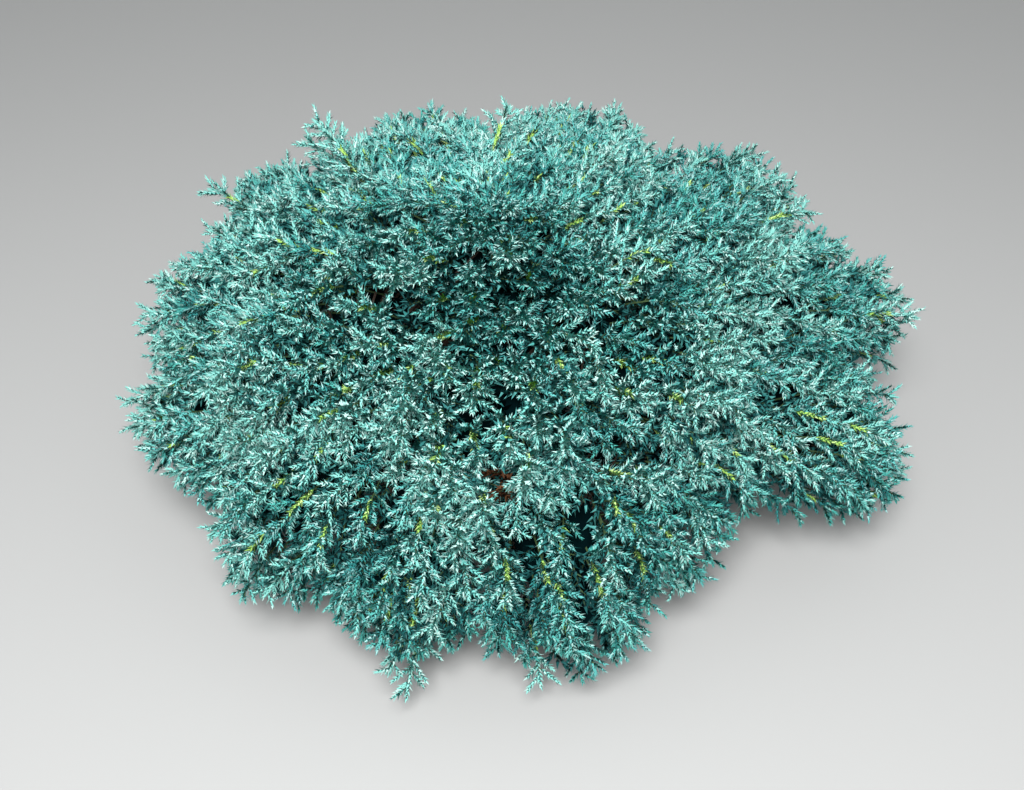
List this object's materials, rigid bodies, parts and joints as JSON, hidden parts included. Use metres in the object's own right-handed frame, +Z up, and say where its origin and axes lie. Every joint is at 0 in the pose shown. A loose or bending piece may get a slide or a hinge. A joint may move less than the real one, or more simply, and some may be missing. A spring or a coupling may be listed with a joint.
{
  "type": "blue star juniper shrub",
  "caption": "Low, dense, mounded evergreen shrub: short flared trunk, spreading boughs, and masses of star-like blue needle sprays that nod at the rim.",
  "frame": {"origin": "middle of the flat cut under the trunk, at ground level", "axes": "+Z up along the trunk, -Y the front that faces the viewer, +X to the viewer's right"},
  "size_m": [1.1393, 1.0952, 0.4819],
  "materials": {
    "bark": "rough, flaking bark",
    "needles": "matt, waxy blue-green needles"
  },
  "bodies": {
    "root": {"trunk": "bark", "bough_skirt_01": "bark", "bough_skirt_02": "bark", "bough_skirt_03": "bark", "bough_skirt_04": "bark", "bough_skirt_05": "bark", "bough_skirt_06": "bark", "bough_skirt_07": "bark", "bough_skirt_08": "bark", "bough_skirt_09": "bark", "bough_skirt_10": "bark", "bough_skirt_11": "bark", "bough_skirt_12": "bark", "bough_shoulder_01": "bark", "bough_shoulder_02": "bark", "bough_shoulder_03": "bark", "bough_shoulder_04": "bark", "bough_shoulder_05": "bark", "bough_shoulder_06": "bark", "bough_shoulder_07": "bark", "bough_top": "bark", "foliage_skirt_01": "needles", "foliage_skirt_02": "needles", "foliage_skirt_03": "needles", "foliage_skirt_04": "needles", "foliage_skirt_05": "needles", "foliage_skirt_06": "needles", "foliage_skirt_07": "needles", "foliage_skirt_08": "needles", "foliage_skirt_09": "needles", "foliage_skirt_10": "needles", "foliage_skirt_11": "needles", "foliage_skirt_12": "needles", "foliage_shoulder_01": "needles", "foliage_shoulder_02": "needles", "foliage_shoulder_03": "needles", "foliage_shoulder_04": "needles", "foliage_shoulder_05": "needles", "foliage_shoulder_06": "needles", "foliage_shoulder_07": "needles", "foliage_top": "needles"}
  },
  "joints": []
}
